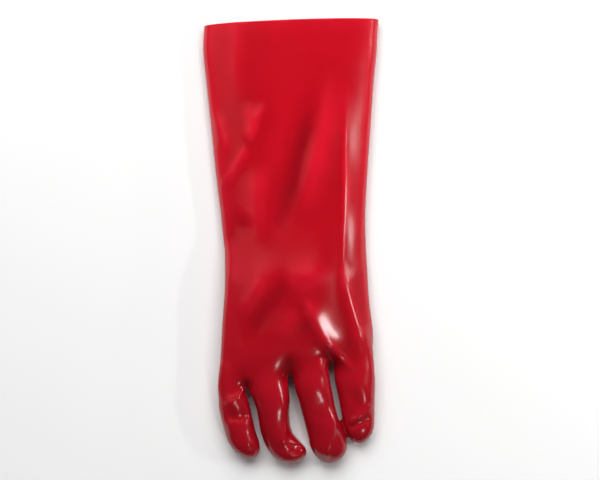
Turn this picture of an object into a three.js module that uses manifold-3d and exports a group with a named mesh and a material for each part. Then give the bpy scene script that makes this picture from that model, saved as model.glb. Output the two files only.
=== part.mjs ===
// A gauntlet work glove, dipped in one piece, lying on its palm with the back of the hand up.
// The cuff's mouth is at +Y and the fingers point to -Y. The index finger is at -X, the little finger at +X.
// The thumb lies tucked under the palm. Millimetres, +Z up, origin under the middle, on the surface it lies on.
import * as THREE from 'three';
import Module from 'manifold-3d';

const wasm = await Module();
wasm.setup();

// Driving dimensions, in millimetres and degrees.
const WALL = 1.6; // cotton and its coat together
const CUFF_LENGTH = 206; // from the mouth to the wrist
const PALM_LENGTH = 110; // from the wrist to the web between middle and ring finger
const MOUTH_WIDTH = 158.5; // laid flat, across the mouth
const WRIST_WIDTH = 128; // laid flat, at the narrowest place
const KNUCKLE_WIDTH = 141; // laid flat, where the fingers start
const MOUTH_DEPTH = 31; // height of the cuff at its mouth as it lies
const WRIST_DEPTH = 30; // height of the tube at the wrist
const KNUCKLE_DEPTH = 25; // height of the tube at the knuckles
const EDGE_HEIGHT = 8; // of the side folds above the underside
const MOUTH_SLANT = 6; // the index side of the mouth is this much shorter
const KNUCKLE_SLANT = 16; // degrees by which the line of the webs is turned
const FINGER_OVERLAP = 24; // how far each finger's tube reaches back into the palm
const THUMB_LENGTH = 122; // with its root inside the cuff
const THUMB_WIDTH = 36;
const THUMB_DEPTH = 9; // pressed nearly flat by the palm
const THUMB_GAP = 1.6; // between the thumb and the palm that lies on it
const REST_SAG = 0.8; // how far a rounded underside is pressed flat by its own weight

// How finely the surfaces are divided.
const BODY_TOP_SIDES = 26;
const BODY_UNDER_SIDES = 10;
const BODY_RINGS = 29;
const FINGER_TOP_SIDES = 10;
const FINGER_UNDER_SIDES = 7;
const FINGER_RINGS = 9;
const DOME_ANGLES = [30, 52, 70, 82]; // degrees round a rounded end where it has a ring

// Sections of the cuff. along: share of the cuff's length from its mouth. flare: 0 at the wrist's width and
// depth, 1 at the mouth's. shift: of the middle towards +X, a share of the wrist's width. lift and drop: how
// far the index side and the little finger side stand above the surface, shares of the thumb's height.
const CUFF_SECTIONS = [
  { along: 0.0, flare: 1.0, shift: 0.005, lift: 0.0, drop: 0.0 },
  { along: 0.1, flare: 0.98, shift: -0.004, lift: 0.0, drop: 0.0 },
  { along: 0.25, flare: 0.8, shift: -0.003, lift: 0.0, drop: 0.0 },
  { along: 0.45, flare: 0.56, shift: 0.002, lift: 0.0, drop: 0.0 },
  { along: 0.65, flare: 0.33, shift: 0.007, lift: 0.0, drop: 0.0 },
  { along: 0.85, flare: 0.1, shift: 0.018, lift: 0.08, drop: 0.0 },
  { along: 1.0, flare: 0.0, shift: 0.034, lift: 0.4, drop: 0.02 },
];

// Sections of the palm. along: share of the palm's length from the wrist. spread: 0 at the wrist's width and
// depth, 1 at the knuckles'. turn: share of the slant of the web line. The other columns are as above.
const PALM_SECTIONS = [
  { along: 0.0, spread: 0.0, shift: 0.034, turn: 0.0, lift: 0.4, drop: 0.02 },
  { along: 0.25, spread: 0.1, shift: 0.041, turn: 0.22, lift: 0.95, drop: 0.12 },
  { along: 0.5, spread: 0.37, shift: 0.038, turn: 0.5, lift: 1.0, drop: 0.3 },
  { along: 0.75, spread: 0.7, shift: 0.041, turn: 0.8, lift: 1.0, drop: 0.45 },
  { along: 1.0, spread: 1.0, shift: 0.043, turn: 1.0, lift: 0.95, drop: 0.5 },
];
const PALM_FRONT = 0.8; // share of the palm's length where its front starts to round off
const FRONT_NARROWS = 0.035; // share of the width that the rounded front loses

// The fingers. root: place on the web line, a share of half the knuckles' width. length: from the web line to
// the tip. depth: height near the tip. dome: where the tip rounds off. Rows: along is a share of the length,
// side and width are shares of the width.
const FINGERS = [
  {
    name: 'index', root: -0.79, length: 62.5, width: 29.5, depth: 23.5, dome: 0.72,
    rows: [
      { along: -0.4, side: -0.06, width: 0.8 },
      { along: -0.05, side: -0.11, width: 0.83 },
      { along: 0.1, side: -0.06, width: 0.88 },
      { along: 0.29, side: 0.0, width: 0.97 },
      { along: 0.47, side: 0.08, width: 0.97 },
      { along: 0.62, side: 0.16, width: 0.96 },
      { along: 0.81, side: 0.3, width: 0.97 },
      { along: 1.0, side: 0.46, width: 0.94 },
    ],
  },
  {
    name: 'middle', root: -0.35, length: 76, width: 37, depth: 23.5, dome: 0.8,
    rows: [
      { along: -0.35, side: -0.03, width: 0.86 },
      { along: -0.05, side: -0.03, width: 0.98 },
      { along: 0.1, side: -0.01, width: 0.97 },
      { along: 0.24, side: 0.06, width: 0.88 },
      { along: 0.36, side: 0.09, width: 0.79 },
      { along: 0.5, side: 0.12, width: 0.76 },
      { along: 0.62, side: 0.17, width: 0.77 },
      { along: 0.71, side: 0.27, width: 0.85 },
      { along: 0.82, side: 0.42, width: 0.95 },
      { along: 0.9, side: 0.48, width: 0.95 },
      { along: 1.0, side: 0.5, width: 0.9 },
    ],
  },
  {
    name: 'ring', root: 0.165, length: 86, width: 35, depth: 23.5, dome: 0.78,
    rows: [
      { along: -0.3, side: -0.01, width: 0.82 },
      { along: 0.05, side: 0.03, width: 0.95 },
      { along: 0.21, side: 0.1, width: 0.95 },
      { along: 0.4, side: 0.21, width: 0.9 },
      { along: 0.51, side: 0.28, width: 0.91 },
      { along: 0.63, side: 0.38, width: 0.96 },
      { along: 0.73, side: 0.45, width: 0.97 },
      { along: 0.82, side: 0.49, width: 0.97 },
      { along: 0.92, side: 0.52, width: 0.96 },
      { along: 1.0, side: 0.5, width: 0.93 },
    ],
  },
  {
    name: 'little', root: 0.715, length: 79.5, width: 35, depth: 19.5, dome: 0.76,
    rows: [
      { along: -0.3, side: 0.0, width: 0.92 },
      { along: 0.05, side: 0.03, width: 1.04 },
      { along: 0.25, side: 0.06, width: 1.05 },
      { along: 0.43, side: 0.1, width: 0.97 },
      { along: 0.6, side: 0.13, width: 0.89 },
      { along: 0.75, side: 0.16, width: 0.82 },
      { along: 0.88, side: 0.18, width: 0.78 },
      { along: 1.0, side: 0.17, width: 0.74 },
    ],
  },
];

// How every finger drapes from the palm's front to the surface. low: its underside, a share of the height of
// the palm's underside there. top: 1 level with the back of the hand, 0 at the finger's own depth.
const FINGER_DRAPE = [
  { along: -0.4, low: 1.15, top: 0.82 },
  { along: -0.12, low: 1.02, top: 0.99 },
  { along: 0.08, low: 0.86, top: 0.98 },
  { along: 0.3, low: 0.5, top: 0.78 },
  { along: 0.5, low: 0.15, top: 0.48 },
  { along: 0.72, low: 0.0, top: 0.16 },
  { along: 1.0, low: 0.0, top: 0.0 },
];
const FINGER_EDGE = 0.45; // height of a finger's side folds, a share of its own height

// Between which shares across the underside leans down from the index side to the little finger's side.
const LEAN_START = 0.15;
const LEAN_END = 0.95;

// The thumb, from its root inside the palm to its tip. across: share of the wrist's width from the middle.
const THUMB_ROOT = 0.82; // share of the cuff's length where the thumb's tube starts
const THUMB_DOME = 0.84;
const THUMB_SECTIONS = [
  { along: 0.0, across: -0.3, width: 0.85 },
  { along: 0.3, across: -0.29, width: 0.95 },
  { along: 0.55, across: -0.24, width: 1.0 },
  { along: 0.8, across: -0.18, width: 0.95 },
  { along: 1.0, across: -0.12, width: 0.85 },
];

// Folds and dents of the cuff and the back of the hand, each from one place to another. across: -1 at the
// index side's fold and 1 at the little finger side's. along: 0 at the mouth, 1 at the wrist, 2 at the webs.
// reach: its half width, a share of the wrist's width. rise: a share of the wrist's depth, below 0 for a dent.
const FOLDS = [
  { from: [0.71, 1.19], to: [0.8, 1.53], reach: 0.045, rise: 0.11 },
  { from: [0.8, 1.53], to: [0.91, 1.9], reach: 0.045, rise: 0.12 },
  { from: [0.2, 1.41], to: [0.35, 1.69], reach: 0.06, rise: 0.13 },
  { from: [0.35, 1.69], to: [0.6, 1.95], reach: 0.055, rise: 0.12 },
  { from: [0.55, 1.35], to: [0.66, 1.8], reach: 0.07, rise: -0.1 },
  { from: [0.7, 0.34], to: [0.63, 1.3], reach: 0.05, rise: 0.05 },
  { from: [0.51, 0.34], to: [0.15, 0.79], reach: 0.08, rise: 0.07 },
  { from: [0.23, 0.39], to: [-0.2, 0.87], reach: 0.09, rise: -0.08 },
  { from: [-0.57, 0.38], to: [-0.51, 0.53], reach: 0.06, rise: 0.05 },
  { from: [-0.28, 0.36], to: [-0.5, 0.53], reach: 0.06, rise: 0.05 },
  { from: [-0.62, 0.57], to: [-0.92, 0.72], reach: 0.05, rise: 0.05 },
  { from: [-0.68, 0.88], to: [-0.96, 0.96], reach: 0.06, rise: -0.04 },
  { from: [-0.45, 0.68], to: [-0.4, 0.92], reach: 0.08, rise: 0.05 },
  { from: [-0.11, 1.17], to: [-0.56, 1.6], reach: 0.08, rise: -0.1 },
  { from: [0.07, 1.16], to: [0.3, 1.33], reach: 0.09, rise: 0.06 },
  { from: [-0.12, 1.72], to: [-0.08, 2.0], reach: 0.07, rise: -0.12 },
];

// Folds and dents of the fingers. side: share of the finger's width from its middle. along: share of its
// length. reach: share of its width. rise: share of its depth.
const FINGER_FOLDS = {
  index: [
    { from: [0.4, 0.05], to: [-0.4, 0.25], reach: 0.16, rise: -0.12 },
    { from: [0.5, 0.35], to: [-0.4, 0.36], reach: 0.14, rise: -0.1 },
  ],
  middle: [
    { from: [0.3, 0.3], to: [0.34, 0.5], reach: 0.12, rise: -0.1 },
    { from: [0.3, 0.72], to: [0.25, 0.95], reach: 0.24, rise: -0.28 },
  ],
  ring: [
    { from: [0.1, 0.36], to: [0.1, 0.4], reach: 0.3, rise: -0.14 },
    { from: [0.42, 0.58], to: [0.2, 0.95], reach: 0.24, rise: -0.28 },
  ],
  little: [
    { from: [-0.2, 0.66], to: [0.4, 0.5], reach: 0.14, rise: -0.12 },
    { from: [-0.05, 0.28], to: [0.0, 0.5], reach: 0.14, rise: -0.08 },
  ],
};

// Roundness of a section above and below its side folds: 0.5 is an ellipse, less is flatter with rounder ends.
const BODY_ROUND = { over: 0.55, under: 0.16 };
const FINGER_ROUND = { over: 0.46, under: 0.34 };

const COAT_COLOR = 0xc8142a;
const COAT_ROUGHNESS = 0.28;
const MOUTH_CUT = 6; // how far the hollow is carried out past the mouth

const THUMB_HEIGHT = THUMB_DEPTH + THUMB_GAP;

function mix(a, b, share) {
  return a + (b - a) * share;
}

function smooth(start, end, value) {
  return THREE.MathUtils.smoothstep(value, start, end);
}

// One column of a table at a place along it, on a curve without overshoot between its rows.
function column(rows, key, along) {
  const last = rows.length - 1;
  if (along <= rows[0].along) return rows[0][key];
  if (along >= rows[last].along) return rows[last][key];
  const next = rows.findIndex((row) => row.along > along);
  const a = rows[next - 1];
  const b = rows[next];
  const span = b.along - a.along;
  const chord = (b[key] - a[key]) / span;
  const slope = (i) => {
    if (i <= 0 || i >= last) return chord;
    const before = (rows[i][key] - rows[i - 1][key]) / (rows[i].along - rows[i - 1].along);
    const after = (rows[i + 1][key] - rows[i][key]) / (rows[i + 1].along - rows[i].along);
    return before * after <= 0 ? 0 : (2 * before * after) / (before + after);
  };
  const u = (along - a.along) / span;
  const start = slope(next - 1) * span;
  const end = slope(next) * span;
  const rise = b[key] - a[key];
  return a[key] + u * (start + u * (3 * rise - 2 * start - end + u * (start + end - 2 * rise)));
}

// 1 before the start, then down to 0 at 1 on a quarter of a circle.
function dome(along, start) {
  const u = Math.max(0, (along - start) / (1 - start));
  return Math.sqrt(Math.max(0, 1 - u * u));
}

// The middle, half width, turn and heights of the body at a place: 0 mouth, 1 wrist, 2 webs.
function bodySection(place) {
  const inCuff = place <= 1;
  const rows = inCuff ? CUFF_SECTIONS : PALM_SECTIONS;
  const along = inCuff ? place : place - 1;
  const get = (key) => column(rows, key, along);
  const share = get(inCuff ? 'flare' : 'spread');
  const wide = mix(WRIST_WIDTH, inCuff ? MOUTH_WIDTH : KNUCKLE_WIDTH, share);
  const deep = mix(WRIST_DEPTH, inCuff ? MOUTH_DEPTH : KNUCKLE_DEPTH, share);
  const knuckleSlope = Math.tan(THREE.MathUtils.degToRad(KNUCKLE_SLANT));
  const mouthSlope = (MOUTH_SLANT / MOUTH_WIDTH) * Math.max(0, 1 - place);
  return {
    x: get('shift') * WRIST_WIDTH,
    y: inCuff ? -along * CUFF_LENGTH : -CUFF_LENGTH - along * PALM_LENGTH,
    half: wide / 2,
    slope: inCuff ? mouthSlope : knuckleSlope * get('turn'),
    lift: get('lift') * THUMB_HEIGHT,
    drop: get('drop') * THUMB_HEIGHT,
    depth: deep,
  };
}

// The point of the body's plan at a share across and a place along.
function bodyPoint([across, place]) {
  const section = bodySection(place);
  const reach = across * section.half;
  return new THREE.Vector2(section.x + reach, section.y + section.slope * reach);
}

function foldRise(folds, point) {
  let rise = 0;
  for (const fold of folds) {
    const run = fold.to.clone().sub(fold.from);
    const share = THREE.MathUtils.clamp(point.clone().sub(fold.from).dot(run) / run.lengthSq(), 0, 1);
    const near = fold.from.clone().addScaledVector(run, share);
    rise += fold.rise * Math.exp(-near.distanceToSquared(point) / fold.reach ** 2);
  }
  return rise;
}

// Where a section's upper side carries its folds in full, a share of its height.
const FOLD_FULL = 0.77;

// The rise of a wall's folds, faded out towards the side folds.
function risenBy(folds, point, height) {
  return foldRise(folds, point) * THREE.MathUtils.clamp(height / FOLD_FULL, 0, 1);
}

// Points round a section: over it from +X to -X, then back under it. Each has its share across and its share
// of the height, above 0 over the side folds and below 0 under them.
function roundSection(topSides, underSides, round) {
  const points = [];
  const spread = (i, n) => (1 - (2 * i) / n + Math.cos((Math.PI * i) / n)) / 2;
  for (let i = 0; i < topSides; i++) {
    const across = spread(i, topSides);
    points.push({ across, height: Math.pow(Math.max(0, 1 - across * across), round.over) });
  }
  for (let i = 0; i < underSides; i++) {
    const across = -spread(i, underSides);
    points.push({ across, height: -Math.pow(Math.max(0, 1 - across * across), round.under) });
  }
  return points;
}

// Places along a tube from its start to its rounded end, closer together round the end.
function stations(start, rings, domeStart, end) {
  const places = [];
  for (let k = 0; k <= rings; k++) {
    places.push(mix(start, domeStart, k / rings));
  }
  for (const angle of DOME_ANGLES) {
    places.push(mix(domeStart, end, Math.sin(THREE.MathUtils.degToRad(angle))));
  }
  return places;
}

// A closed mesh through rings of equal count. A flat fan closes its first ring, and a fan round the pole its last.
function loft(rings, pole) {
  const sides = rings[0].length;
  const vertices = rings.flat();
  const triangles = [];
  for (let k = 0; k + 1 < rings.length; k++) {
    for (let j = 0; j < sides; j++) {
      const next = (j + 1) % sides;
      const a = k * sides + j;
      const b = k * sides + next;
      const c = b + sides;
      const d = a + sides;
      triangles.push(a, b, c, a, c, d);
    }
  }
  const middle = new THREE.Vector3();
  rings[0].forEach((point) => middle.addScaledVector(point, 1 / sides));
  const start = vertices.push(middle) - 1;
  const end = vertices.push(pole) - 1;
  const lastRing = (rings.length - 1) * sides;
  for (let j = 0; j < sides; j++) {
    const next = (j + 1) % sides;
    triangles.push(start, next, j);
    triangles.push(end, lastRing + j, lastRing + next);
  }
  const vertProperties = new Float32Array(vertices.flatMap((point) => [point.x, point.y, point.z]));
  return new wasm.Manifold(new wasm.Mesh({ numProp: 3, vertProperties, triVerts: new Uint32Array(triangles) }));
}

// The height of the body's underside at a share across, which leans down to the little finger's side.
function underside(section, across) {
  return mix(section.lift, section.drop, smooth(LEAN_START, LEAN_END, across));
}

// The cuff and palm as one tube. With an inset it is the hollow inside the wall.
function bodySolid(inset) {
  const folds = FOLDS.map((fold) => ({
    from: bodyPoint(fold.from),
    to: bodyPoint(fold.to),
    reach: fold.reach * WRIST_WIDTH,
    rise: fold.rise * WRIST_DEPTH,
  }));
  const shape = roundSection(BODY_TOP_SIDES, BODY_UNDER_SIDES, BODY_ROUND);
  const front = 2 - inset / PALM_LENGTH;
  const rings = stations(0, BODY_RINGS, 1 + PALM_FRONT, front).map((place) => {
    const section = bodySection(place);
    const close = dome((place - 1) / (front - 1), PALM_FRONT / (front - 1));
    const half = section.half * mix(1 - FRONT_NARROWS, 1, close) - inset;
    return shape.map(({ across, height }) => {
      const reach = across * half;
      const x = section.x + reach;
      const y = section.y + section.slope * reach;
      const up = (section.depth - EDGE_HEIGHT - inset) * close;
      const down = (EDGE_HEIGHT + REST_SAG - inset) * close;
      const rise = risenBy(folds, new THREE.Vector2(x, y), height) * close;
      const z = underside(section, across) + EDGE_HEIGHT + (height > 0 ? up : down) * height + rise;
      return new THREE.Vector3(x, y, Math.max(z, inset));
    });
  });
  if (inset > 0) {
    rings.unshift(rings[0].map((point) => point.clone().setY(point.y + MOUTH_CUT)));
  }
  const end = bodySection(front);
  return loft(rings, new THREE.Vector3(end.x, end.y, underside(end, 0) + EDGE_HEIGHT));
}

// A tube with a rounded tip. frame gives its middle, half width, low and top at a share along it.
function tubeSolid(frame, { start, tip, round, folds, inset }) {
  const shape = roundSection(FINGER_TOP_SIDES, FINGER_UNDER_SIDES, FINGER_ROUND);
  const rings = stations(start, FINGER_RINGS, round, tip).map((along) => {
    const { x, y, half, low, top } = frame(along);
    const close = dome(along / tip, round / tip);
    const edge = mix(low, top, FINGER_EDGE);
    return shape.map(({ across, height }) => {
      const at = new THREE.Vector2(x + across * (half - inset) * close, y);
      const up = (top - edge - inset) * close;
      const down = (edge - low + REST_SAG - inset) * close;
      const z = edge + (height > 0 ? up : down) * height + risenBy(folds, at, height) * close;
      return new THREE.Vector3(at.x, at.y, Math.max(z, inset));
    });
  });
  const end = frame(tip);
  return loft(rings, new THREE.Vector3(end.x, end.y, mix(end.low, end.top, FINGER_EDGE)));
}

function fingerSolid(finger, inset) {
  const webs = bodySection(2);
  const root = bodyPoint([finger.root, 2]);
  const rootLow = underside(webs, finger.root);
  const crown = Math.pow(1 - finger.root ** 2, BODY_ROUND.over);
  const rootTop = rootLow + EDGE_HEIGHT + (webs.depth - EDGE_HEIGHT) * crown;
  const frame = (along) => ({
    x: root.x + column(finger.rows, 'side', along) * finger.width,
    y: root.y - along * finger.length,
    half: (column(finger.rows, 'width', along) * finger.width) / 2,
    low: column(FINGER_DRAPE, 'low', along) * rootLow,
    top: mix(finger.depth, rootTop, column(FINGER_DRAPE, 'top', along)),
  });
  const place = ([side, along]) => new THREE.Vector2(frame(along).x + side * finger.width, frame(along).y);
  const folds = FINGER_FOLDS[finger.name].map((fold) => ({
    from: place(fold.from),
    to: place(fold.to),
    reach: fold.reach * finger.width,
    rise: fold.rise * finger.depth,
  }));
  const start = (inset - FINGER_OVERLAP) / finger.length;
  return tubeSolid(frame, { start, tip: 1 - inset / finger.length, round: finger.dome, folds, inset });
}

function thumbSolid(inset) {
  const frame = (along) => ({
    x: column(THUMB_SECTIONS, 'across', along) * WRIST_WIDTH,
    y: -THUMB_ROOT * CUFF_LENGTH - along * THUMB_LENGTH,
    half: (column(THUMB_SECTIONS, 'width', along) * THUMB_WIDTH) / 2,
    low: 0,
    top: THUMB_DEPTH,
  });
  const start = inset / THUMB_LENGTH;
  return tubeSolid(frame, { start, tip: 1 - start, round: THUMB_DOME, folds: [], inset });
}

// The whole glove, fused. Where tubes meet at the webs they can trap a pocket between them, which is filled by
// keeping the outer skin alone.
function gloveSolid(inset) {
  const parts = FINGERS.map((finger) => fingerSolid(finger, inset));
  parts.push(thumbSolid(inset));
  const fused = parts.reduce((all, part) => all.add(part), bodySolid(inset));
  const skins = fused.decompose();
  return skins.reduce((largest, skin) => (skin.volume() > largest.volume() ? skin : largest));
}

const shell = gloveSolid(0).subtract(gloveSolid(WALL));
const { vertProperties, triVerts } = shell.getMesh();
const geometry = new THREE.BufferGeometry();
geometry.setAttribute('position', new THREE.BufferAttribute(vertProperties, 3));
geometry.setIndex(new THREE.BufferAttribute(triVerts, 1));
geometry.computeVertexNormals();
geometry.computeBoundingBox();

const coat = new THREE.MeshStandardMaterial({ color: COAT_COLOR, roughness: COAT_ROUGHNESS, metalness: 0 });
const coatedShell = new THREE.Mesh(geometry, coat);
coatedShell.name = 'coated_shell';

// The origin lies under the middle of the whole glove.
const middle = geometry.boundingBox.getCenter(new THREE.Vector3());
coatedShell.position.set(-middle.x, -middle.y, -geometry.boundingBox.min.z);

const glove = new THREE.Group();
glove.add(coatedShell);

export default glove;
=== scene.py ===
# %% [markdown]
# # A gauntlet work glove, dipped in one piece
# The real glove is a cotton glove pulled over a hand-shaped former and dipped in liquid PVC. What comes
# out is one skin with no seams on its outside: a long flared cuff, a palm, four fingers and a thumb.
# Here it lies on its palm with the fingers towards the reader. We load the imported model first, so that
# all that follows is made round its bodies and sizes.

# %% Load the frame
from math import radians

import bmesh
import bpy
import numpy as np
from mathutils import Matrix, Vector


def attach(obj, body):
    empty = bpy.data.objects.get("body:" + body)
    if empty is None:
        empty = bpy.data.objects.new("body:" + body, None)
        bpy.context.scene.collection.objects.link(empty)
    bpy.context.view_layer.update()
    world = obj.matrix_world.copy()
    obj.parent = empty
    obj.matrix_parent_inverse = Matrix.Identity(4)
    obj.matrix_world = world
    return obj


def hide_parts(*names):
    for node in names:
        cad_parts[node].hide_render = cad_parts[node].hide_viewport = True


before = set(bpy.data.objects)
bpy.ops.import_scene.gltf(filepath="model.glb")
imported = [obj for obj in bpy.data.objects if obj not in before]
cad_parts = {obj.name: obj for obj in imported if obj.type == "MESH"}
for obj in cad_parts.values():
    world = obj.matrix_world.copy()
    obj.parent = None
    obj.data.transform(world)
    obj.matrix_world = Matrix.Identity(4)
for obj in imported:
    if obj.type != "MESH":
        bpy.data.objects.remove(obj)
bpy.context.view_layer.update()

MM = 0.001

# %% [markdown]
# ## The sizes of the glove
# These are the glove's own sizes, in millimetres, as a pattern cutter would list them: the tube that
# the hand goes into is given by its width and height at three places, the mouth, the wrist and the
# knuckles. A few numbers and short tables describe the whole form, so a change of one size moves
# everything that depends on it.

# %% Sizes in millimetres
WRIST_PLACE, WEB_PLACE = 1.0, 2.0  # places along the body, where the mouth is 0
WALL = 1.6  # cotton and its coat together
CUFF_LENGTH = 206.0  # from the mouth to the wrist
PALM_LENGTH = 110.0  # from the wrist to the middle web
MOUTH_Y = 198.04  # of the mouth's middle
MIDDLE_X = -0.28  # of the cuff's middle line
MOUTH_WIDTH, WRIST_WIDTH, KNUCKLE_WIDTH = 158.5, 128.0, 141.0
MOUTH_DEPTH, WRIST_DEPTH, KNUCKLE_DEPTH = 31.0, 30.0, 25.0
EDGE_HEIGHT = 8.0  # of the side folds above the underside
MOUTH_SLANT = 6.0  # the index finger's side of the mouth is this much shorter
KNUCKLE_SLANT = radians(16)  # turn of the line of the webs
FINGER_OVERLAP = 24.0  # how far each finger reaches back into the palm
THUMB_LENGTH, THUMB_WIDTH, THUMB_DEPTH, THUMB_GAP = 122.0, 36.0, 9.0, 1.6
THUMB_HEIGHT = THUMB_DEPTH + THUMB_GAP
REST_SAG = 0.8  # how far a rounded underside is pressed flat
PALM_FRONT = 0.8  # share of the palm where its front starts to round off
FRONT_NARROWS = 0.035  # share of the width that the rounded front loses


def table(names, rows):
    """A short table as one array for each named column."""
    return dict(zip(names.split(), np.array(rows, float).T))


CUFF = table("along flare shift lift drop", [
    [0.00, 1.00, 0.005, 0.00, 0.00],
    [0.10, 0.98, -0.004, 0.00, 0.00],
    [0.25, 0.80, -0.003, 0.00, 0.00],
    [0.45, 0.56, 0.002, 0.00, 0.00],
    [0.65, 0.33, 0.007, 0.00, 0.00],
    [0.85, 0.10, 0.018, 0.08, 0.00],
    [1.00, 0.00, 0.034, 0.40, 0.02]])
PALM = table("along spread shift turn lift drop", [
    [0.00, 0.00, 0.034, 0.00, 0.40, 0.02],
    [0.25, 0.10, 0.041, 0.22, 0.95, 0.12],
    [0.50, 0.37, 0.038, 0.50, 1.00, 0.30],
    [0.75, 0.70, 0.041, 0.80, 1.00, 0.45],
    [1.00, 1.00, 0.043, 1.00, 0.95, 0.50]])
print("glove laid flat:", CUFF_LENGTH + PALM_LENGTH, "mm from the mouth to the webs")

# %% [markdown]
# ## Curves through a table
# Between two rows we want a smooth curve that never swings past either of them, or the cuff would bulge
# where the table says that it narrows. A cubic whose slope at each row is the harmonic mean of the
# slopes on its two sides has just that habit. It is worked out for a whole array of places in one go.


# %% Curves through a table
def column(rows, name, along):
    """One column at many places. Between rows a and b, with u from 0 to 1, it is the cubic that starts at
    a, ends at b, and has at each the harmonic mean of the chords on either side, or 0 where they point
    opposite ways."""
    x, y = rows["along"], rows[name]
    chord = np.diff(y) / np.diff(x)
    before, after = chord[:-1], chord[1:]
    agree = before * after > 0
    inner = np.where(agree, 2 * before * after / np.where(agree, before + after, 1.0), 0.0)
    slope = np.concatenate([chord[:1], inner, chord[-1:]])
    i = np.clip(np.searchsorted(x, along, side="right") - 1, 0, len(x) - 2)
    span = x[i + 1] - x[i]
    u = np.clip((along - x[i]) / span, 0, 1)
    start, end, rise = slope[i] * span, slope[i + 1] * span, y[i + 1] - y[i]
    return y[i] + u * (start + u * (3 * rise - 2 * start - end + u * (start + end - 2 * rise)))


def mix(a, b, share):
    """The value that lies this share of the way from a to b."""
    return a + (b - a) * share


def smooth(start, end, value):
    """0 before the start, 1 after the end, and u * u * (3 - 2 * u) between."""
    u = np.clip((value - start) / (end - start), 0, 1)
    return u * u * (3 - 2 * u)


def dome(along, start, end=1.0):
    """1 before the start, then down to 0 at the end on a quarter of a circle."""
    return np.sqrt(np.clip(1 - np.clip((along - start) / (end - start), 0, 1) ** 2, 0, 1))


def domed_places(start, dome_start, end, step, rings=14):
    """Places along a tube, even up to the dome and closer and closer round it."""
    straight = np.linspace(start, dome_start, max(2, int((dome_start - start) / step)), endpoint=False)
    turn = np.sin(np.linspace(0, np.pi / 2, rings + 1)[:-1])
    return np.concatenate([straight, mix(dome_start, end, turn)])


halfway = mix(WRIST_WIDTH, MOUTH_WIDTH, column(CUFF, "flare", np.array([0.5])))
print("cuff halfway to the wrist:", round(float(halfway[0]), 1), "mm wide")

# %% [markdown]
# ## The cuff and palm as one tube
# A soft tube that lies down is flat below and low-crowned above, with a rounded fold at each side. So
# each section is drawn in two halves over the same width: the upper one almost an ellipse, the lower
# one pressed nearly flat. Under the palm the thumb holds the index finger's side off the table, and the
# underside leans down from there.


# %% The cuff and palm
def body_frame(place):
    """Middle, half width, slant and heights at places along the body: 0 is the mouth, 1 the wrist, 2 the
    webs. Each width and height is a table's share of the way between the sizes at the two ends."""
    in_cuff = place <= 1

    def get(name, other=None):
        """One column of the cuff's table or, past the wrist, of the palm's."""
        return np.where(in_cuff, column(CUFF, name, place), column(PALM, other or name, place - 1))

    share = get("flare", "spread")
    y = np.where(in_cuff, -place * CUFF_LENGTH, -CUFF_LENGTH - (place - 1) * PALM_LENGTH) + MOUTH_Y
    mouth_slope = MOUTH_SLANT / MOUTH_WIDTH * np.clip(1 - place, 0, 1)
    palm_slope = np.tan(KNUCKLE_SLANT) * column(PALM, "turn", place - 1)
    return {
        "x": get("shift") * WRIST_WIDTH + MIDDLE_X,
        "y": y,
        "half": mix(WRIST_WIDTH, np.where(in_cuff, MOUTH_WIDTH, KNUCKLE_WIDTH), share) / 2,
        "depth": mix(WRIST_DEPTH, np.where(in_cuff, MOUTH_DEPTH, KNUCKLE_DEPTH), share),
        "slope": np.where(in_cuff, mouth_slope, palm_slope),
        "lift": get("lift") * THUMB_HEIGHT,
        "drop": get("drop") * THUMB_HEIGHT,
    }


def frame_at(place):
    """The same at one place, as plain numbers."""
    return {key: float(value[0]) for key, value in body_frame(np.array([place])).items()}


def section_shape(sides, over, under):
    """Share across and share of height round a section: cos of the angle, and (1 - across^2) to a power,
    positive over the side folds and negative under them."""
    angle = np.linspace(0, 2 * np.pi, sides, endpoint=False)
    across = np.cos(angle)
    base = np.clip(1 - across ** 2, 0, 1)
    return across, np.where(angle < np.pi, base ** over, -base ** under)


def underside(frame_rows, across):
    """Height of the underside: it leans down from the index finger's side to the little finger's."""
    return mix(frame_rows["lift"], frame_rows["drop"], smooth(LEAN_START, LEAN_END, across))


BODY_ROUND = (0.55, 0.16)  # powers of the section over and under the side folds
BODY_SIDES, BODY_STEP = 260, 0.012
MOUTH_EXTRA = 0.06  # how far the tube is carried out past the mouth
LEAN_START, LEAN_END = 0.15, 0.95  # shares across where the underside starts and ends its lean


def body_points(inset):
    """Rings of the tube: x = middle + across * half, z = underside + edge + height * reach up or down."""
    front = WEB_PLACE - inset / PALM_LENGTH
    place = domed_places(-MOUTH_EXTRA, WRIST_PLACE + PALM_FRONT, front, BODY_STEP)
    rows = {name: values[:, None] for name, values in body_frame(place).items()}
    close = dome(place - WRIST_PLACE, PALM_FRONT, front - WRIST_PLACE)[:, None]
    half = rows["half"] * mix(1 - FRONT_NARROWS, 1, close) - inset
    across, height = section_shape(BODY_SIDES, *BODY_ROUND)
    reach = across * half
    up = (rows["depth"] - EDGE_HEIGHT - inset) * close
    down = (EDGE_HEIGHT + REST_SAG - inset) * close
    z = underside(rows, across) + EDGE_HEIGHT + np.where(height > 0, up, down) * height
    return np.stack([rows["x"] + reach, rows["y"] + rows["slope"] * reach, np.maximum(z, inset)], axis=-1)


print("body rings and sides:", body_points(0).shape[:2])

# %% [markdown]
# ## Fingers and thumb
# Each finger is a tube of its own that starts inside the palm, drapes over its front and comes to rest
# on the table. Its table gives how far its middle leans sideways and how wide it is. All the tubes
# overlap, like fingers of wax pushed together, and are melted into one skin afterwards.

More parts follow.
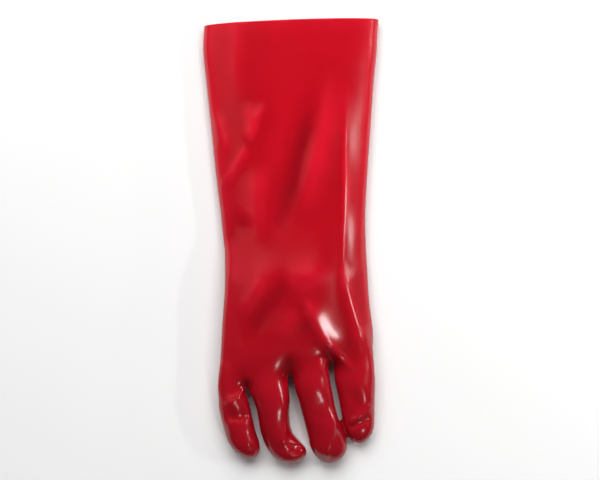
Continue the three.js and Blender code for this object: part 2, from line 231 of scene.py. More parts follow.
# %% Fingers and thumb
# each finger: root across the webs, length, width, height, start of the dome, rows of along, side, width
FINGERS = {
    "index": (-0.79, 62.5, 29.5, 23.5, 0.72, [
        [-0.40, -0.06, 0.80], [-0.05, -0.11, 0.83], [0.10, -0.06, 0.88], [0.29, 0.00, 0.97],
        [0.47, 0.08, 0.97], [0.62, 0.16, 0.96], [0.81, 0.30, 0.97], [1.00, 0.46, 0.94]]),
    "middle": (-0.35, 76.0, 37.0, 23.5, 0.80, [
        [-0.35, -0.03, 0.86], [-0.05, -0.03, 0.98], [0.10, -0.01, 0.97], [0.24, 0.06, 0.88],
        [0.36, 0.09, 0.79], [0.50, 0.12, 0.76], [0.62, 0.17, 0.77], [0.71, 0.27, 0.85],
        [0.82, 0.42, 0.95], [0.90, 0.48, 0.95], [1.00, 0.50, 0.90]]),
    "ring": (0.165, 86.0, 35.0, 23.5, 0.78, [
        [-0.30, -0.01, 0.82], [0.05, 0.03, 0.95], [0.21, 0.10, 0.95], [0.40, 0.21, 0.90],
        [0.51, 0.28, 0.91], [0.63, 0.38, 0.96], [0.73, 0.45, 0.97], [0.82, 0.49, 0.97],
        [0.92, 0.52, 0.96], [1.00, 0.50, 0.93]]),
    "little": (0.715, 79.5, 35.0, 19.5, 0.76, [
        [-0.30, 0.00, 0.92], [0.05, 0.03, 1.04], [0.25, 0.06, 1.05], [0.43, 0.10, 0.97],
        [0.60, 0.13, 0.89], [0.75, 0.16, 0.82], [0.88, 0.18, 0.78], [1.00, 0.17, 0.74]]),
}
FINGER_DRAPE = table("along low top", [
    [-0.40, 1.15, 0.82], [-0.12, 1.02, 0.99], [0.08, 0.86, 0.98], [0.30, 0.50, 0.78],
    [0.50, 0.15, 0.48], [0.72, 0.00, 0.16], [1.00, 0.00, 0.00]])
THUMB = table("along across width", [
    [0.00, -0.30, 0.85], [0.30, -0.29, 0.95], [0.55, -0.24, 1.00], [0.80, -0.18, 0.95], [1.00, -0.12, 0.85]])
FINGER_ROUND = (0.46, 0.34)
FINGER_EDGE = 0.45  # height of a finger's side folds, a share of its own height
FINGER_SIDES, FINGER_STEP = 110, 1.6
THUMB_ROOT, THUMB_DOME = 0.82, 0.84


def tube_points(x, y, half, low, top, close, inset):
    """Rings of a finger: sections of the given half width between its low and top, closed by a dome."""
    measures = (x, y, half, low, top, close)
    x, y, half, low, top, close = (np.broadcast_to(value, y.shape)[:, None] for value in measures)
    across, height = section_shape(FINGER_SIDES, *FINGER_ROUND)
    edge = mix(low, top, FINGER_EDGE)
    up = (top - edge - inset) * close
    down = (edge - low + REST_SAG - inset) * close
    z = edge + np.where(height > 0, up, down) * height
    return np.stack([x + across * (half - inset) * close, y + 0 * across, np.maximum(z, inset)], axis=-1)


def finger_points(name, inset):
    """Rings of one finger. Its root lies on the line of the webs, and its height goes by the drape's table
    from the palm's height there down to the finger's own."""
    root, length, width, depth, dome_start, rows = FINGERS[name]
    rows = table("along side width", rows)
    web = frame_at(WEB_PLACE)
    root_x = web["x"] + root * web["half"]
    root_y = web["y"] + web["slope"] * root * web["half"]
    root_low = float(underside(web, root))
    crown = (1 - root ** 2) ** BODY_ROUND[0]
    root_top = root_low + EDGE_HEIGHT + (web["depth"] - EDGE_HEIGHT) * crown
    tip = 1 - inset / length
    along = domed_places((inset - FINGER_OVERLAP) / length, dome_start, tip, FINGER_STEP / length)
    return tube_points(
        root_x + column(rows, "side", along) * width, root_y - along * length,
        column(rows, "width", along) * width / 2, column(FINGER_DRAPE, "low", along) * root_low,
        mix(depth, root_top, column(FINGER_DRAPE, "top", along)), dome(along, dome_start, tip), inset)


def thumb_points(inset):
    """Rings of the thumb, which starts inside the cuff and runs on under the palm, pressed nearly flat."""
    start = inset / THUMB_LENGTH
    along = domed_places(start, THUMB_DOME, 1 - start, FINGER_STEP / THUMB_LENGTH)
    return tube_points(
        column(THUMB, "across", along) * WRIST_WIDTH + MIDDLE_X,
        MOUTH_Y - THUMB_ROOT * CUFF_LENGTH - along * THUMB_LENGTH,
        column(THUMB, "width", along) * THUMB_WIDTH / 2, 0.0, THUMB_DEPTH,
        dome(along, THUMB_DOME, 1 - start), inset)


for finger in FINGERS:
    rings = finger_points(finger, 0)
    print(finger, "finger tip at y", round(float(rings[..., 1].min()), 1), "mm")

# %% [markdown]
# ## Melting the tubes together
# A boolean union would leave a hard crease wherever two tubes meet, and a dipped glove has none: liquid
# PVC runs into every web and rounds it. So the tubes are joined in one mesh and remeshed on a fine grid
# of voxels, which keeps only the outer skin. A few rounds of averaging each point with its neighbours
# then take out the steps of the grid and round the webs. The upper side gets many more rounds along the
# webs and across the wrist, where the cuff's table hands over to the palm's and would leave a faint
# edge in the gloss.


# %% Closed tubes and a voxel skin
def closed_tubes(tubes):
    """Vertices and faces of tubes given as grids of rings. Each end ring is closed by a fan round its own
    middle."""
    vertices, quads, triangles, first = [], [], [], 0
    for points in tubes:
        rings, sides = points.shape[:2]
        index = first + np.arange(rings * sides).reshape(rings, sides)
        turned = np.roll(index, -1, axis=1)
        quads.append(np.stack([index[:-1], turned[:-1], turned[1:], index[1:]], axis=-1).reshape(-1, 4))
        start, end = first + rings * sides, first + rings * sides + 1
        triangles.append(np.stack([turned[0], index[0], np.full(sides, start)], axis=-1))
        triangles.append(np.stack([index[-1], turned[-1], np.full(sides, end)], axis=-1))
        vertices += [points.reshape(-1, 3), points[0].mean(axis=0)[None], points[-1].mean(axis=0)[None]]
        first += rings * sides + 2
    faces = np.concatenate(quads).tolist() + np.concatenate(triangles).tolist()
    return np.concatenate(vertices), faces


def mesh_from(name, vertices, faces):
    """A new mesh of the given vertices and faces."""
    mesh = bpy.data.meshes.new(name)
    mesh.from_pydata(vertices, [], faces)
    mesh.update()
    return mesh


def voxel_skin(tubes, voxel):
    """The outer skin of overlapping closed tubes, as vertices in millimetres and quads. Blender's Remesh
    makes it on a grid of voxels of the given size."""
    vertices, faces = closed_tubes(tubes)
    mesh = mesh_from("tubes", vertices * MM, faces)
    piece = bpy.data.objects.new("tubes", mesh)
    bpy.context.collection.objects.link(piece)
    remesh = piece.modifiers.new("skin", "REMESH")
    remesh.mode = "VOXEL"
    remesh.voxel_size = voxel * MM
    skin = piece.evaluated_get(bpy.context.evaluated_depsgraph_get()).to_mesh()
    points = np.empty(len(skin.vertices) * 3)
    skin.vertices.foreach_get("co", points)
    corners = np.empty(len(skin.loops), int)
    skin.loops.foreach_get("vertex_index", corners)
    bpy.data.objects.remove(piece)
    bpy.data.meshes.remove(mesh)
    return points.reshape(-1, 3) / MM, corners.reshape(-1, 4)


def edges_of(quads):
    """The edges of all the quads, each once."""
    edges = np.concatenate([quads[:, [0, 1]], quads[:, [1, 2]], quads[:, [2, 3]], quads[:, [3, 0]]])
    return np.unique(np.sort(edges, axis=1), axis=0)


SMOOTH_IN, SMOOTH_BACK = 0.63, 0.60


def averaged(points, edges, rounds, share=None):
    """Each round moves a point towards the mean of its neighbours. With no share given, it moves 0.63 of
    the way and then 0.60 back, so that bumps go and the size stays. A share for each point moves it that
    much, one way."""
    count = np.bincount(edges.ravel(), minlength=len(points))[:, None]
    a, b = edges.T

    def pull(p):
        """The way from each point to the mean of its neighbours."""
        total = [np.bincount(a, p[b, k], len(p)) + np.bincount(b, p[a, k], len(p)) for k in range(3)]
        return np.stack(total, 1) / count - p

    for _ in range(rounds):
        if share is None:
            points = points + SMOOTH_IN * pull(points)
            points = points - SMOOTH_BACK * pull(points)
        else:
            points = points + share * pull(points)
    return points


def normals_of(points, quads):
    """The mean direction of the faces round each point, each weighted by its area."""
    face = np.cross(points[quads[:, 2]] - points[quads[:, 0]], points[quads[:, 3]] - points[quads[:, 1]])
    total = np.stack([np.bincount(quads.ravel(), np.repeat(face[:, k], 4), len(points)) for k in range(3)], 1)
    return total / np.maximum(np.linalg.norm(total, axis=1, keepdims=True), 1e-12)


OUTER_VOXEL, INNER_VOXEL = 1.44, 2.7
OUTER_ROUNDS, INNER_ROUNDS = 7, 3
OUTER_EASING, INNER_EASING = 70, 19
EASED_LINES = ((WEB_PLACE, 6.0, 15.0), (WRIST_PLACE, 0.0, 18.0))  # place, distance of its middle, reach
EASED_NORMALS = (0.2, 0.8)  # upward share of a normal where the easing starts and where it is full


def glove_skin(inset, voxel, rounds):
    """One skin of the glove: all the tubes drawn smaller by the inset, melted together and averaged."""
    tubes = [body_points(inset), thumb_points(inset)] + [finger_points(name, inset) for name in FINGERS]
    points, quads = voxel_skin(tubes, voxel)
    return averaged(points, edges_of(quads), rounds), quads


def upper_eased(points, quads, rounds):
    """The upper side near the web line and near the wrist, averaged much more: there the share of each
    round is exp(-(distance to the line / reach)^2), and elsewhere it falls to nothing."""
    share = np.zeros(len(points))
    for place, middle, reach in EASED_LINES:
        line = frame_at(place)
        away = points[:, 1] - line["y"] - line["slope"] * (points[:, 0] - line["x"])
        share = np.maximum(share, np.exp(-((away - middle) / reach) ** 2))
    share = share * smooth(*EASED_NORMALS, normals_of(points, quads)[:, 2])
    return averaged(points, edges_of(quads), rounds, share[:, None])


outer, outer_quads = glove_skin(0, OUTER_VOXEL, OUTER_ROUNDS)
inner, inner_quads = glove_skin(WALL, INNER_VOXEL, INNER_ROUNDS)
outer = upper_eased(outer, outer_quads, OUTER_EASING)
inner = upper_eased(inner, inner_quads, INNER_EASING)
print("outer skin:", len(outer), "points; inner skin:", len(inner), "points")

# %% [markdown]
# ## Folds
# What makes soft PVC look soft is the way light runs along its folds, so each fold is laid where the
# real one is: a smooth curve through a few points, a rise or a dip, and how far it reaches on its left
# and on its right. A power of 2 gives a soft swell, 1 a pinched crest, and 4 a flat-topped strip with
# two edges. Only the side of the skin that looks up is moved, and the inner skin moves with the outer
# one, so the wall stays about as thick as it was.


# %% Folds
def curve_through(points, steps=10):
    """Points of a curve through the given ones, whose direction at each is that of the chord between its
    two neighbours."""
    p = np.array(points, float)
    if len(p) == 2:
        return mix(p[0], p[1], np.linspace(0, 1, steps)[:, None])
    ends = np.concatenate([[2 * p[0] - p[1]], p, [2 * p[-1] - p[-2]]])
    u = np.linspace(0, 1, steps, endpoint=False)[:, None]
    a, b, c, d = (ends[i:len(ends) - 3 + i, None] for i in range(4))
    line = b + 0.5 * u * (c - a + u * (2 * a - 5 * b + 4 * c - d + u * (3 * (b - c) + d - a)))
    return np.concatenate([line.reshape(-1, 2), p[-1:]])


def fold_rise(at, points, rise, left, right, power=2.0, fade=(0.3, 0.3)):
    """rise * exp(-(distance / reach) ^ power), with the left reach or the right one by the side of the fold
    that a point lies on. It fades in and out over a share of the fold's length, or ends round where that
    share is 0."""
    line = curve_through(points)
    start, run = line[:-1], np.diff(line, axis=0)
    size = np.linalg.norm(run, axis=1)
    walked = np.concatenate([[0], np.cumsum(size)[:-1]])
    away = at[:, None] - start
    share = np.clip((away * run).sum(-1) / size ** 2, 0, 1)
    gap = away - share[..., None] * run
    distance = np.linalg.norm(gap, axis=-1)
    nearest = distance.argmin(axis=1)
    row = np.arange(len(at))
    far = distance[row, nearest]
    r, g = run[nearest], away[row, nearest]
    side = r[:, 0] * g[:, 1] - r[:, 1] * g[:, 0]
    along = (walked[nearest] + share[row, nearest] * size[nearest]) / size.sum()
    starts = smooth(0, fade[0], along) if fade[0] else 1.0
    stops = smooth(0, fade[1], 1 - along) if fade[1] else 1.0
    return rise * (starts * stops) * np.exp(-(far / np.where(side > 0, left, right)) ** power)


FOLDED_NORMALS = (0.1, 0.75)  # upward share of a normal where a fold starts and where it is full
# each fold: points, rise, reach on its left and on its right, power, fades at its start and its end
FOLDS = [
    # ridges from the wrist to the ring and little finger's knuckles
    ([(47, -16), (51, -42), (55, -59), (64, -90), (72, -110)], 3.2, 8, 6, 1.8, (0.3, 0.3)),
    ([(10, -46), (17, -62), (26, -81), (35, -94), (49, -110), (61, -119)], 4.4, 10, 6, 1.6, (0.3, 0.4)),
    ([(29, -84), (39, -97), (51, -110), (63, -119)], 1.0, 4, 3, 3.0, (0.3, 0.4)),
    # the line along the little finger's side
    ([(50, 150), (48, 37), (46, -70)], 1.0, 3, 3, 1.5),
    ([(51, 90), (50, 5)], 1.2, 6, 5, 2.0, (0.5, 0.5)),
    ([(63, 170), (63, -20)], -0.6, 8, 8, 2.0, (0.5, 0.5)),
    # swells and hollows of the cuff
    ([(-51, 205), (-51, 120)], 1.0, 10, 10, 2.0, (0.1, 0.5)),
    ([(-68, 120), (-57, 76)], 1.4, 6, 6, 2.0, (0.4, 0.4)),
    ([(-37, 128), (-38, 82)], 1.4, 5, 6, 2.0, (0.4, 0.4)),
    ([(-24, 128), (-38, 84)], 1.4, 5, 5, 2.0, (0.4, 0.3)),
    ([(-38, 90), (-64, 44)], 1.6, 7, 4, 2.0, (0.3, 0.4)),
    ([(42, 160), (25, 82), (8, 15)], 2.6, 18, 10, 2.0, (0.4, 0.4)),
    ([(22, 140), (1, 51), (-16, -5)], -2.6, 12, 16, 2.0, (0.4, 0.4)),
    ([(-30, 75), (-30, -5)], 2.0, 13, 13, 2.0, (0.4, 0.4)),
    ([(-36, 26), (-62, -6)], -1.6, 11, 11, 2.0, (0.4, 0.3)),
    # the back of the hand
    ([(-8, -22), (32, -40)], 1.4, 14, 15, 2.0, (0.45, 0.5)),
    ([(4, -18), (-14, -50), (-27, -68), (-44, -100)], -2.4, 12, 12, 2.0, (0.35, 0.35)),
    ([(-24, -30), (-46, -70)], 1.8, 8, 8, 2.0, (0.4, 0.4)),
    ([(8, -58), (-10, -92)], 1.6, 9, 9, 2.0, (0.4, 0.4)),
    # grooves that run up from the webs
    ([(-1, -92), (-3, -122)], -2.4, 7, 8, 2.0, (0.7, 0.0)),
    ([(-38, -120), (-42, -136)], -2.0, 6, 5, 2.0, (0.6, 0.0)),
    ([(31, -94), (34, -112)], -2.0, 6, 6, 2.0, (0.6, 0.0)),
    # index finger
    ([(-41, -130), (-47, -139), (-61, -147)], 3.0, 6, 3, 1.4, (0.15, 0.3)),
    ([(-36, -153), (-47, -158), (-60, -154)], -2.4, 4, 6, 2.0, (0.2, 0.3)),
    ([(-55, -165), (-54, -170)], 0.8, 3, 3, 2.0, (0.0, 0.0)),
    ([(-40, -174), (-38, -181)], 0.8, 3, 3, 2.0, (0.0, 0.0)),
    # middle finger
    ([(-10, -136), (-4, -150), (-2, -160), (-5, -172), (-8, -188)], 2.4, 3, 6, 1.4, (0.3, 0.2)),
    ([(6, -182), (2, -192)], -1.8, 5, 5, 2.0, (0.2, 0.2)),
    # ring finger
    ([(29, -110), (29, -113)], 2.2, 5, 5, 2.0, (0.0, 0.0)),
    ([(25, -146), (26, -153)], -2.0, 9, 9, 2.0, (0.0, 0.0)),
    ([(44, -150), (38, -171), (31, -198)], 3.6, 4, 6, 1.2, (0.1, 0.15)),
    # little finger
    ([(57, -130), (62, -154)], -0.9, 7, 7, 2.0, (0.45, 0.45)),
    ([(51, -165), (62, -157), (75, -146)], 1.8, 3, 3, 1.4, (0.15, 0.15)),
    ([(52, -168), (71, -159)], -1.6, 3, 3, 2.0, (0.2, 0.2)),
    ([(58, -116), (72, -150)], 1.4, 7, 7, 2.0, (0.4, 0.4)),
]


def folded(points, quads):
    """The skin with its folds: upward points rise, in full where the skin is level and not at all where it
    stands upright."""
    upward = smooth(*FOLDED_NORMALS, normals_of(points, quads)[:, 2])
    moving = upward > 0
    at = points[moving, :2]
    rise = sum(fold_rise(at, *fold) for fold in FOLDS)
    result = points.copy()
    result[moving, 2] += rise * upward[moving]
    return result


outer = folded(outer, outer_quads)
inner = folded(inner, inner_quads)
print("folds:", len(FOLDS), "highest point", round(float(outer[:, 2].max()), 1), "mm")

# %% [markdown]
# ## The mouth
# The cuff is cut off straight, at a slight slant, so both skins are cut along one plane. The two open
# edges are then joined by a strip that bulges a little, which gives the rim a rounded edge.

# %% The mouth
RIM_BULGE = 0.6


def cut_open(points, quads):
    """The part of a skin on the fingers' side of the mouth's plane, as vertices and faces, with its open
    edge's points in order of their angle round the edge's middle."""
    form = bmesh.new()
    mesh = mesh_from("skin", points, quads.tolist())
    form.from_mesh(mesh)
    bpy.data.meshes.remove(mesh)
    slope = MOUTH_SLANT / MOUTH_WIDTH
    cut = bmesh.ops.bisect_plane(
        form, geom=form.verts[:] + form.edges[:] + form.faces[:], plane_co=(MIDDLE_X, MOUTH_Y, 0),
        plane_no=(-slope, 1, 0), clear_outer=True)
    bmesh.ops.triangulate(form, faces=[f for f in form.faces if len(f.verts) > 4])
    form.verts.index_update()
    kept = np.array([v.co[:] for v in form.verts])
    faces = [[v.index for v in f.verts] for f in form.faces]
    edge = np.array([v.index for v in cut["geom_cut"] if isinstance(v, bmesh.types.BMVert)])
    form.free()
    middle = kept[edge].mean(axis=0)
    away = kept[edge] - middle
    angle = np.arctan2(away[:, 2] * MOUTH_WIDTH / MOUTH_DEPTH, away[:, 0])
    order = np.argsort(angle)
    return kept, faces, edge[order], angle[order]


def strip_between(edge, angle, other, other_angle):
    """Triangles between two closed edges with any number of points: each step along one edge is joined to
    the point of the other edge that comes last before it in angle."""
    behind = np.searchsorted(other_angle, angle, side="right") - 1
    one = np.stack([np.roll(edge, 1), edge, other[behind]], axis=-1)
    behind = np.searchsorted(angle, other_angle, side="right") - 1
    two = np.stack([edge[behind], other, np.roll(other, 1)], axis=-1)
    return np.concatenate([one, two])


outer, outer_faces, outer_edge, outer_angle = cut_open(outer, outer_quads)
inner, inner_faces, inner_edge, inner_angle = cut_open(inner, inner_quads)
near = np.searchsorted(inner_angle, outer_angle) % len(inner_edge)
rim = (outer[outer_edge] + inner[inner_edge[near]]) / 2 + np.array([0, RIM_BULGE, 0])
first_inner, first_rim = len(outer), len(outer) + len(inner)
rim_edge = first_rim + np.arange(len(rim))
turned = np.roll(rim_edge, -1)
rim_faces = np.stack([outer_edge, rim_edge, turned, np.roll(outer_edge, -1)], axis=-1).tolist()
rim_faces += strip_between(rim_edge, outer_angle, first_inner + inner_edge, inner_angle).tolist()
wall_faces = [[first_inner + i for i in reversed(face)] for face in inner_faces]
print("edge points at the mouth:", len(outer_edge), "outside,", len(inner_edge), "inside")

# %% The glove's mesh
points = np.concatenate([outer, inner, rim])
points[:, 2] = np.maximum(points[:, 2], 0)
mesh = mesh_from("glove_coat", points * MM, outer_faces + rim_faces + wall_faces)
form = bmesh.new()
form.from_mesh(mesh)
bmesh.ops.recalc_face_normals(form, faces=form.faces)
bmesh.ops.triangulate(form, faces=[f for f in form.faces if len(f.verts) > 3])
open_edges = sum(1 for e in form.edges if len(e.link_faces) != 2)
form.to_mesh(mesh)
form.free()
mesh.polygons.foreach_set("use_smooth", np.ones(len(mesh.polygons), bool))
corners = np.empty(len(mesh.loops), int)
mesh.loops.foreach_get("vertex_index", corners)
corners = corners.reshape(-1, 3)
lining = ((corners >= first_inner) & (corners < first_rim)).all(axis=1)
mesh.polygons.foreach_set("material_index", lining.astype(int))
glove = bpy.data.objects.new("glove_coat", mesh)
bpy.context.collection.objects.link(glove)
print("glove:", len(mesh.polygons), "triangles,", open_edges, "open edges")

# %% [markdown]
# ## How far each point stands out
# The coat's red gets painted shade in the hollows and a painted highlight on the crests, so a crest is a
# shade lighter and a hollow deeper and darker. A texture could not know where the crests are, but the mesh
# does: we average the whole skin until its folds are gone, and keep how far each point stood above that
# calm skin as an attribute of the mesh.

# %% The relief attribute
RELIEF_ROUNDS, RELIEF_SHARE, RELIEF_FULL = 160, 0.5, 1.3
edges = np.empty(len(mesh.edges) * 2, int)
mesh.edges.foreach_get("vertices", edges)
outward = np.empty(len(points) * 3)
mesh.vertex_normals.foreach_get("vector", outward)
calm = averaged(points, edges.reshape(-1, 2), RELIEF_ROUNDS, RELIEF_SHARE)
stands_out = ((points - calm) * outward.reshape(-1, 3)).sum(axis=1)
relief = np.clip(0.5 + 0.5 * stands_out / RELIEF_FULL, 0, 1)
# this attribute sets where the coat gets painted shade and where it gets a painted highlight
mesh.attributes.new("relief", "FLOAT", "POINT").data.foreach_set("value", relief)
print("relief from", round(float(stands_out.min()), 2), "to", round(float(stands_out.max()), 2), "mm")

# %% [markdown]
# ## Two effects for every finish
# The coat, the cotton inside and the paper below all vary a little over their surface, and all have a
# fine grain. So both effects are node groups, built once: a mottling, which is a soft noise pulled to
# full contrast, and a grain, which is a fine noise on a coarser one. Each finish gives them its own
# scale.


# %% Node groups
def group(name, inputs, output):
    """An empty node group with named number inputs and one number output, and its input and output nodes."""
    tree = bpy.data.node_groups.new(name, "ShaderNodeTree")
    for label, value in inputs.items():
        socket = tree.interface.new_socket(label, in_out="INPUT", socket_type="NodeSocketFloat")
        socket.default_value = value
    tree.interface.new_socket(output, in_out="OUTPUT", socket_type="NodeSocketFloat")
    return tree, tree.nodes.new("NodeGroupInput"), tree.nodes.new("NodeGroupOutput")


def noise(tree, detail):
    """A noise on the object's own coordinates."""
    place = tree.nodes.new("ShaderNodeTexCoord")
    texture = tree.nodes.new("ShaderNodeTexNoise")
    texture.inputs["Detail"].default_value = detail
    tree.links.new(place.outputs["Object"], texture.inputs["Vector"])
    return texture


def arithmetic(tree, operation, a, b):
    """One sum or product of two sockets or numbers."""
    step = tree.nodes.new("ShaderNodeMath")
    step.operation = operation
    for socket, value in zip(step.inputs, (a, b)):
        if isinstance(value, (int, float)):
            socket.default_value = value
        else:
            tree.links.new(value, socket)
    return step.outputs[0]


mottling, given, result = group("mottling", {"Scale": 30.0, "Contrast": 4.0}, "Mask")
SOFT_DETAIL, FINE_DETAIL = 2.0, 3.0
MIDDLE_TONE = 0.5
COARSE_WEIGHT = 2.0
soft = noise(mottling, SOFT_DETAIL)
mottling.links.new(given.outputs["Scale"], soft.inputs["Scale"])
centred = arithmetic(mottling, "SUBTRACT", soft.outputs[0], MIDDLE_TONE)
pulled = arithmetic(mottling, "MULTIPLY", centred, given.outputs["Contrast"])
stretched = arithmetic(mottling, "ADD", pulled, MIDDLE_TONE)
limits = mottling.nodes.new("ShaderNodeClamp")
mottling.links.new(stretched, limits.inputs["Value"])
mottling.links.new(limits.outputs[0], result.inputs["Mask"])

grain, given, result = group("grain", {"Scale": 900.0, "Coarse": 0.2}, "Height")
fine, coarse = noise(grain, FINE_DETAIL), noise(grain, SOFT_DETAIL)
grain.links.new(given.outputs["Scale"], fine.inputs["Scale"])
coarser = arithmetic(grain, "MULTIPLY", given.outputs["Scale"], given.outputs["Coarse"])
grain.links.new(coarser, coarse.inputs["Scale"])
swells = arithmetic(grain, "MULTIPLY", coarse.outputs[0], COARSE_WEIGHT)
height = arithmetic(grain, "ADD", fine.outputs[0], swells)
grain.links.new(height, result.inputs["Height"])
print("node groups:", [tree.name for tree in bpy.data.node_groups])

# %% [markdown]
# ## The coat
# Dipped PVC is dyed through, so it is one red, but never an even one: it is faintly clouded where it is
# thin over the cotton. Its gloss has the same clouds. The surface is smooth enough for sharp lights, with
# a faint unevenness from the knit below. Onto the red, shade is painted deeper into the hollows, a painted
# highlight lightens the crests, and painted shade darkens the red more and more towards the fingertips.


# %% The coat's finish
def finish(name, roughness):
    """A new material, with its tree and its Principled shader."""
    material = bpy.data.materials.new(name)
    material.use_nodes = True
    shader = material.node_tree.nodes["Principled BSDF"]
    shader.inputs["Roughness"].default_value = roughness
    return material, material.node_tree, shader


def effect(tree, kind, **values):
    """A node group placed in a material, with its own values."""
    placed = tree.nodes.new("ShaderNodeGroup")
    placed.node_tree = kind
    for label, value in values.items():
        placed.inputs[label].default_value = value
    return placed.outputs[0]


def blended(tree, share, low, high):
    """A colour between two, by a share that changes over the surface."""
    blend = tree.nodes.new("ShaderNodeMix")
    blend.data_type = "RGBA"
    tree.links.new(share, blend.inputs["Factor"])
    for label, value in (("A", low), ("B", high)):
        socket = [s for s in blend.inputs if s.name == label and s.type == "RGBA"][0]
        if isinstance(value, tuple):
            socket.default_value = (*value, 1)
        else:
            tree.links.new(value, socket)
    return [s for s in blend.outputs if s.type == "RGBA"][0]


def ranged(tree, value, from_low, from_high, low, high):
    """A number that goes from low to high as another goes through its own range."""
    step = tree.nodes.new("ShaderNodeMapRange")
    tree.links.new(value, step.inputs["Value"])
    for label, number in (("From Min", from_low), ("From Max", from_high), ("To Min", low), ("To Max", high)):
        step.inputs[label].default_value = number
    return step.outputs[0]


def bumped(tree, shader, height, depth, strength):
    """A bump of the given depth in metres on the shader's normal."""
    bump = tree.nodes.new("ShaderNodeBump")
    bump.inputs["Distance"].default_value = depth
    bump.inputs["Strength"].default_value = strength
    tree.links.new(height, bump.inputs["Height"])
    tree.links.new(bump.outputs[0], shader.inputs["Normal"])


RED, DULL_RED = (0.54, 0.0020, 0.011), (0.46, 0.0016, 0.009)
# painted shade for the hollows and a painted highlight for the crests
HOLLOW_SHADE_RED, CREST_HIGHLIGHT_RED = (0.24, 0.0010, 0.006), (0.68, 0.006, 0.022)
# painted shade: the red darkens more and more towards the fingertips
FINGERTIP_SHADE_RED = (0.23, 0.0012, 0.006)
HOLLOW_RELIEF, CREST_RELIEF = (0.05, 0.46), (0.53, 0.95)
SHADE_START_Y, SHADE_FULL_Y, FINGERTIP_SHADE_SHARE = 0.08, -0.18, 0.75  # in metres along the glove, and the share at the tips
COAT_ROUGHNESS = (0.17, 0.26)
COAT_IOR = 1.5
COAT_GRAIN_DEPTH, COAT_GRAIN_STRENGTH = 0.00006, 0.25
coat, tree, shader = finish("red_pvc", COAT_ROUGHNESS[0])
relief_node = tree.nodes.new("ShaderNodeAttribute")
relief_node.attribute_name = "relief"
hollow_share = ranged(tree, relief_node.outputs["Fac"], *HOLLOW_RELIEF, 0.0, 1.0)
crest_share = ranged(tree, relief_node.outputs["Fac"], *CREST_RELIEF, 0.0, 1.0)
clouds = effect(tree, mottling, Scale=22.0, Contrast=1.3)
plain = blended(tree, clouds, RED, DULL_RED)
# painted shade in the hollows, then a painted highlight on the crests, both by the relief attribute
hollow_shaded = blended(tree, hollow_share, HOLLOW_SHADE_RED, plain)
crest_highlighted = blended(tree, crest_share, hollow_shaded, CREST_HIGHLIGHT_RED)
along = tree.nodes.new("ShaderNodeSeparateXYZ")
tree.links.new(tree.nodes.new("ShaderNodeTexCoord").outputs["Object"], along.inputs[0])
# painted shade, which grows along the glove towards the fingertips
fingertip_shade = ranged(tree, along.outputs["Y"], SHADE_START_Y, SHADE_FULL_Y, 0.0, FINGERTIP_SHADE_SHARE)
tree.links.new(blended(tree, fingertip_shade, crest_highlighted, FINGERTIP_SHADE_RED), shader.inputs["Base Color"])
gloss = effect(tree, mottling, Scale=40.0, Contrast=1.5)
tree.links.new(ranged(tree, gloss, 0.0, 1.0, *COAT_ROUGHNESS), shader.inputs["Roughness"])
shader.inputs["IOR"].default_value = COAT_IOR
unevenness = effect(tree, grain, Scale=700.0, Coarse=0.12)
bumped(tree, shader, unevenness, COAT_GRAIN_DEPTH, COAT_GRAIN_STRENGTH)
print("coat:", coat.name, "with", len(tree.nodes), "nodes")

# %% [markdown]
# ## The cotton inside
# The glove was dipped over a knitted cotton liner, which is all that shows inside the mouth. It is part
# of the same wall, so it is only a second finish on the inner faces: undyed cotton, dull, with the
# small loops of its knit.

# %% The cotton's finish
COTTON_ROUGHNESS = 0.95
YELLOWED_COTTON, CLEAN_COTTON = (0.72, 0.66, 0.54), (0.82, 0.77, 0.66)
LOOP_SCALE = 750.0
KNIT_DEPTH, KNIT_STRENGTH = 0.0004, 0.6
cotton, tree, shader = finish("cotton_liner", COTTON_ROUGHNESS)
stain = effect(tree, mottling, Scale=45.0, Contrast=2.5)
tree.links.new(blended(tree, stain, YELLOWED_COTTON, CLEAN_COTTON), shader.inputs["Base Color"])
loops = tree.nodes.new("ShaderNodeTexVoronoi")
loops.inputs["Scale"].default_value = LOOP_SCALE
where = tree.nodes.new("ShaderNodeTexCoord")
tree.links.new(where.outputs["Object"], loops.inputs["Vector"])
knit = arithmetic(tree, "ADD", loops.outputs["Distance"], effect(tree, grain, Scale=2600.0, Coarse=0.3))
bumped(tree, shader, knit, KNIT_DEPTH, KNIT_STRENGTH)
for material in (coat, cotton):
    mesh.materials.append(material)
print("finishes on the glove:", [m.name for m in mesh.materials], "inner faces:", int(lining.sum()))

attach(glove, "root")
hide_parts("coated_shell")

# %% [markdown]
# ## The floor
# The glove lies on a plain white ground. A single square far larger than the picture is enough, as long
# as it is matt: then it shows no lamp, only the soft shadow round the glove. It has the two effects
# too, but so faint that it stays plain.

# %% Floor
FLOOR_HALF = 3.0
PAPER_ROUGHNESS = 0.9
PAPER_DULL, PAPER_BRIGHT = (0.93, 0.93, 0.93), (0.97, 0.97, 0.965)
PAPER_GRAIN_DEPTH, PAPER_GRAIN_STRENGTH = 0.0001, 0.1
floor_corners = FLOOR_HALF * np.array([(-1, -1, 0), (1, -1, 0), (1, 1, 0), (-1, 1, 0)])
floor_mesh = mesh_from("floor", floor_corners, [[0, 1, 2, 3]])
floor = bpy.data.objects.new("floor", floor_mesh)
bpy.context.collection.objects.link(floor)
paper, tree, shader = finish("white_paper", PAPER_ROUGHNESS)
shade = effect(tree, mottling, Scale=3.0, Contrast=1.5)
tree.links.new(blended(tree, shade, PAPER_DULL, PAPER_BRIGHT), shader.inputs["Base Color"])
fibres = effect(tree, grain, Scale=400.0, Coarse=0.2)
bumped(tree, shader, fibres, PAPER_GRAIN_DEPTH, PAPER_GRAIN_STRENGTH)
floor_mesh.materials.append(paper)
print("floor:", 2 * FLOOR_HALF, "m square,", paper.name)

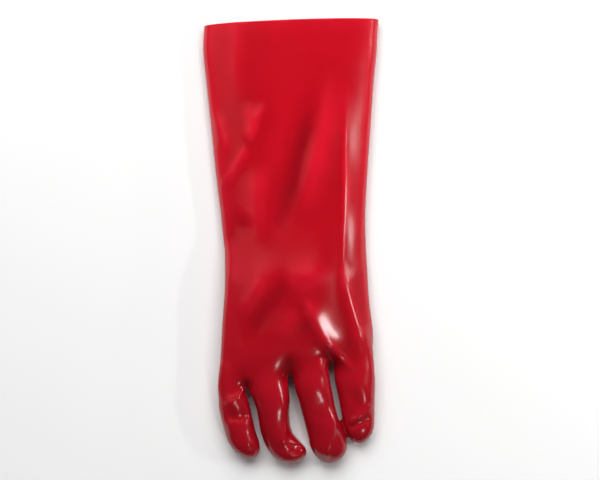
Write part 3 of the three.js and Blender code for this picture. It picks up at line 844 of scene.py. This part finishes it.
# %% [markdown]
# ## The light
# A glossy coat shows two things: its own red, and a mirror image of every lamp. One large soft lamp
# could do both, but its image would lie over the folds like milk. So the large key lamp lights the red
# and is hidden from reflections, and weaker lamps give the gloss: a soft one at the left, two narrow
# ones at the right, whose images run along the ridges of the hand, and a small one beyond the fingers
# for the sparks on them.


# %% Light
def area_light(name, at, size, watts):
    """A white soft box of the given width and height that looks at the middle of the glove."""
    light = bpy.data.lights.new(name, "AREA")
    light.shape = "RECTANGLE"
    light.size, light.size_y = size
    light.energy = watts
    lamp = bpy.data.objects.new(name, light)
    lamp.location = at
    lamp.rotation_euler = (-Vector(at)).to_track_quat("-Z", "Y").to_euler()
    bpy.context.collection.objects.link(lamp)
    return lamp


# each lamp: its place, its width and height, all in metres, and its watts
KEY_LAMP = ((-0.1, 1.3, 1.6), (2.2, 1.6), 56)
GLOSS_LAMPS = {
    "sheen": ((-1.5, 0.8, 1.3), (1.6, 1.8), 2.8),
    "streak": ((0.75, 0.0, 0.47), (0.15, 0.03), 1.2),
    "low_streak": ((1.36, 0.42, 0.4), (0.3, 0.06), 1.2),
    "spark": ((0.5, -0.8, 0.95), (0.16, 0.16), 1.7),
}
ROOM_LIGHT = 0.06
key = area_light("key", *KEY_LAMP)
key.visible_glossy = False
for name, lamp in GLOSS_LAMPS.items():
    area_light(name, *lamp)
world = bpy.data.worlds.new("room")
world.use_nodes = True
world.node_tree.nodes["Background"].inputs["Color"].default_value = (1, 1, 1, 1)
world.node_tree.nodes["Background"].inputs["Strength"].default_value = ROOM_LIGHT
bpy.context.scene.world = world
print("lamps: key,", ", ".join(GLOSS_LAMPS))

# %% [markdown]
# ## The camera
# The glove is seen from straight above, so the camera hangs over its middle. From far away the near and
# the far parts keep their true sizes. The lens follows from the width that the picture has to take in
# at the height of the glove: sensor width times distance over seen width.

# %% Camera
CAMERA_PLACE = (0.0082, 0.0014, 1.5)
SEEN_WIDTH = 0.5436  # in metres, at this height above the floor:
GLOVE_HEIGHT = 0.01
SENSOR_WIDTH = 36
camera_data = bpy.data.cameras.new("camera")
camera_data.sensor_width = SENSOR_WIDTH
camera_data.lens = SENSOR_WIDTH * (CAMERA_PLACE[2] - GLOVE_HEIGHT) / SEEN_WIDTH
camera = bpy.data.objects.new("camera", camera_data)
camera.location = CAMERA_PLACE
bpy.context.collection.objects.link(camera)
bpy.context.scene.camera = camera
bpy.context.scene.view_settings.view_transform = "Standard"
print("lens:", round(camera_data.lens, 1), "mm")
